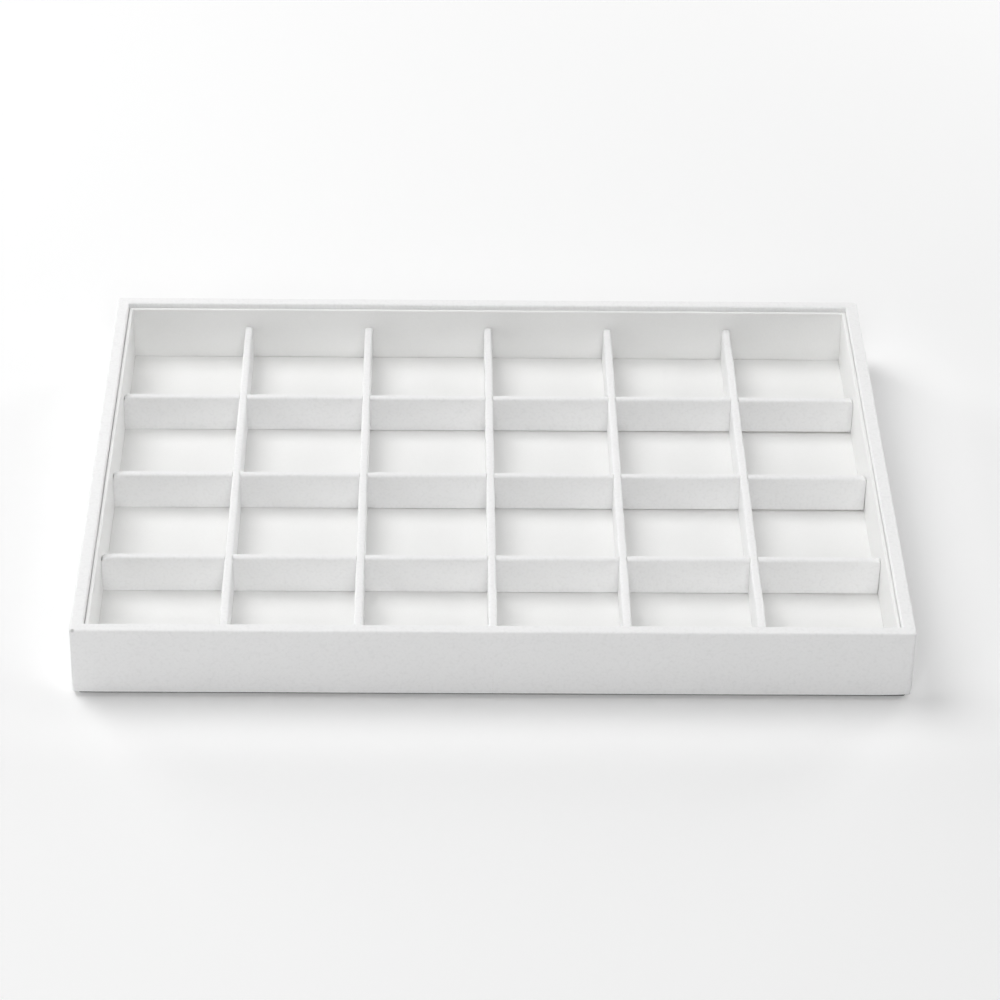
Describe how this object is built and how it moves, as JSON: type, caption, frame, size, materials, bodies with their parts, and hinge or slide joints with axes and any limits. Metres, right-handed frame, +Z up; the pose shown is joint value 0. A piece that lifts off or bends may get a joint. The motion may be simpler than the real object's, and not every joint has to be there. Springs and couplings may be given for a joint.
{
  "type": "jewelry tray",
  "caption": "Low rectangular tray wrapped in white leatherette, with a lift-out insert and a loose lattice of half-lapped dividers that parts it into jewelry compartments.",
  "frame": {"origin": "on the table, under the middle of the tray", "axes": "+X to the right along the long side, +Y from the front to the back, +Z up"},
  "size_m": [0.35, 0.27, 0.033],
  "materials": {
    "white_leatherette": "fine grain, matte",
    "leatherette_paper": "smooth, matte",
    "greyboard": "raw, die-cut",
    "fibreboard": "raw, sawn",
    "felt": "short felt"
  },
  "bodies": {
    "tray": {"front_rail": "fibreboard", "right_rail": "fibreboard", "back_rail": "fibreboard", "left_rail": "fibreboard", "base_board": "greyboard", "outer_wrap": "white_leatherette", "underside_lining": "felt"},
    "insert": {"insert_floor_board": "greyboard", "insert_floor_cover": "leatherette_paper", "front_liner_board": "greyboard", "front_liner_cover": "leatherette_paper", "right_liner_board": "greyboard", "right_liner_cover": "leatherette_paper", "back_liner_board": "greyboard", "back_liner_cover": "leatherette_paper", "left_liner_board": "greyboard", "left_liner_cover": "leatherette_paper"},
    "lattice": {"row_divider_board_1": "greyboard", "row_divider_cover_1": "white_leatherette", "row_divider_board_2": "greyboard", "row_divider_cover_2": "white_leatherette", "row_divider_board_3": "greyboard", "row_divider_cover_3": "white_leatherette"},
    "column_divider_1": {"column_divider_board_1": "greyboard", "column_divider_cover_1": "white_leatherette"},
    "column_divider_2": {"column_divider_board_2": "greyboard", "column_divider_cover_2": "white_leatherette"},
    "column_divider_3": {"column_divider_board_3": "greyboard", "column_divider_cover_3": "white_leatherette"},
    "column_divider_4": {"column_divider_board_4": "greyboard", "column_divider_cover_4": "white_leatherette"},
    "column_divider_5": {"column_divider_board_5": "greyboard", "column_divider_cover_5": "white_leatherette"}
  },
  "joints": [
    {"name": "insert_lift", "type": "slide", "parent": "tray", "child": "insert", "axis": [0, 0, 1], "range_m": [0, 0.04]},
    {"name": "lattice_lift", "type": "slide", "parent": "insert", "child": "lattice", "axis": [0, 0, 1], "range_m": [0, 0.03]},
    {"name": "column_divider_1_lift", "type": "slide", "parent": "lattice", "child": "column_divider_1", "axis": [0, 0, 1], "range_m": [0, 0.03]},
    {"name": "column_divider_2_lift", "type": "slide", "parent": "lattice", "child": "column_divider_2", "axis": [0, 0, 1], "range_m": [0, 0.03]},
    {"name": "column_divider_3_lift", "type": "slide", "parent": "lattice", "child": "column_divider_3", "axis": [0, 0, 1], "range_m": [0, 0.03]},
    {"name": "column_divider_4_lift", "type": "slide", "parent": "lattice", "child": "column_divider_4", "axis": [0, 0, 1], "range_m": [0, 0.03]},
    {"name": "column_divider_5_lift", "type": "slide", "parent": "lattice", "child": "column_divider_5", "axis": [0, 0, 1], "range_m": [0, 0.03]}
  ]
}
